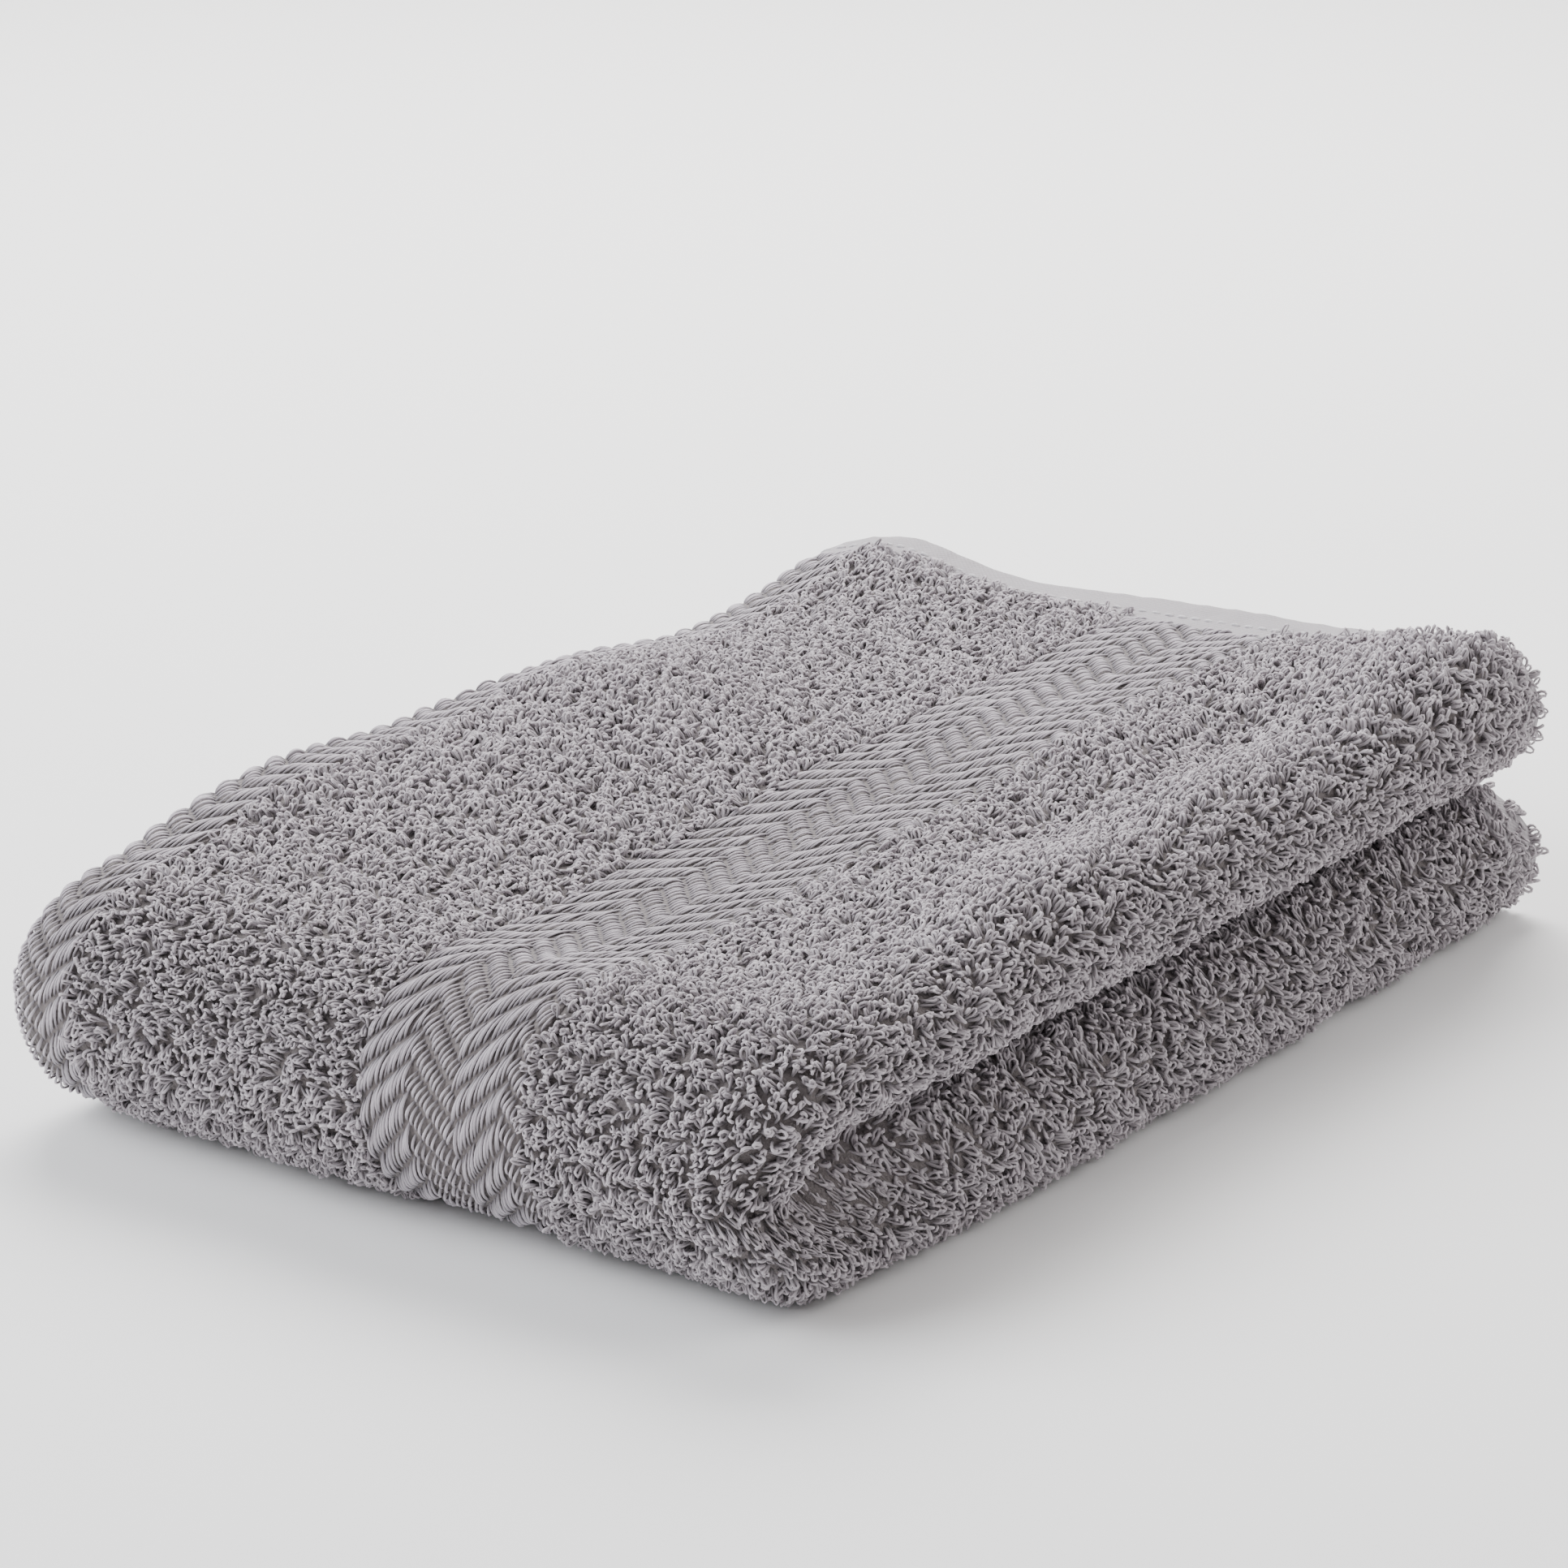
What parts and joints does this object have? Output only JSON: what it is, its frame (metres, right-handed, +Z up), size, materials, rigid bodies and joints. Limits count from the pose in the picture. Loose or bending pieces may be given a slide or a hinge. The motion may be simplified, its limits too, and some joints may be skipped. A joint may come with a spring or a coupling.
{
  "type": "folded bath towel",
  "caption": "Folded terry bath towel with looped pile, herringbone border and end bands, stitched hems, and an upper half that opens about the front fold.",
  "frame": {"origin": "middle of the folded towel's footprint, on the surface it lies on", "axes": "+X from the hem ends to the round lips, +Y from the front fold to the side hems at the back, +Z up"},
  "size_m": [0.233, 0.35, 0.0726],
  "materials": {
    "terry": "matte",
    "herringbone": "matte",
    "hem": "matte",
    "thread": "satin"
  },
  "bodies": {
    "lower_half": {"roll_end_hem": "hem", "roll_end_band": "herringbone", "roll_terry_strip": "terry", "roll_border_band": "herringbone", "roll_terry_field": "terry", "roll_outer_lip": "terry", "roll_base_panel": "terry", "roll_outer_crease": "terry", "roll_middle_panel": "terry", "roll_lining_hem": "hem", "roll_lining_panel": "terry", "roll_lining_lip": "terry", "roll_lining_base": "terry", "roll_lining_crease": "terry", "roll_lining_middle": "terry", "roll_half_fold": "terry", "lower_end_hem": "hem", "lower_end_band": "herringbone", "lower_terry_strip": "terry", "lower_border_band": "herringbone", "lower_terry_field": "terry", "lower_outer_lip": "terry", "lower_base_panel": "terry", "lower_outer_crease": "terry", "lower_middle_panel": "terry", "lower_lining_hem": "hem", "lower_lining_panel": "terry", "lower_lining_lip": "terry", "lower_lining_base": "terry", "lower_lining_crease": "terry", "lower_lining_middle": "terry", "lower_half_fold": "terry", "lower_side_hem": "hem", "lower_side_stitch": "thread", "lower_end_stitch": "thread"},
    "upper_half": {"upper_end_hem": "hem", "upper_end_band": "herringbone", "upper_terry_strip": "terry", "upper_border_band": "herringbone", "upper_terry_field": "terry", "upper_outer_lip": "terry", "upper_base_panel": "terry", "upper_outer_crease": "terry", "upper_middle_panel": "terry", "upper_lining_hem": "hem", "upper_lining_panel": "terry", "upper_lining_lip": "terry", "upper_lining_base": "terry", "upper_lining_crease": "terry", "upper_lining_middle": "terry", "upper_half_fold": "terry", "upper_side_hem": "hem", "upper_side_stitch": "thread", "upper_end_stitch": "thread"}
  },
  "joints": [
    {"name": "front_fold", "type": "hinge", "parent": "lower_half", "child": "upper_half", "pos_m": [0, -0.1387, 0.0363], "axis": [1, 0, 0], "range_deg": [0, 90], "deforming": ["roll_end_hem", "roll_end_band", "roll_terry_strip", "roll_border_band", "roll_terry_field", "roll_outer_lip", "roll_base_panel", "roll_outer_crease", "roll_middle_panel", "roll_lining_hem", "roll_lining_panel", "roll_lining_lip", "roll_lining_base", "roll_lining_crease", "roll_lining_middle", "roll_half_fold"]}
  ]
}
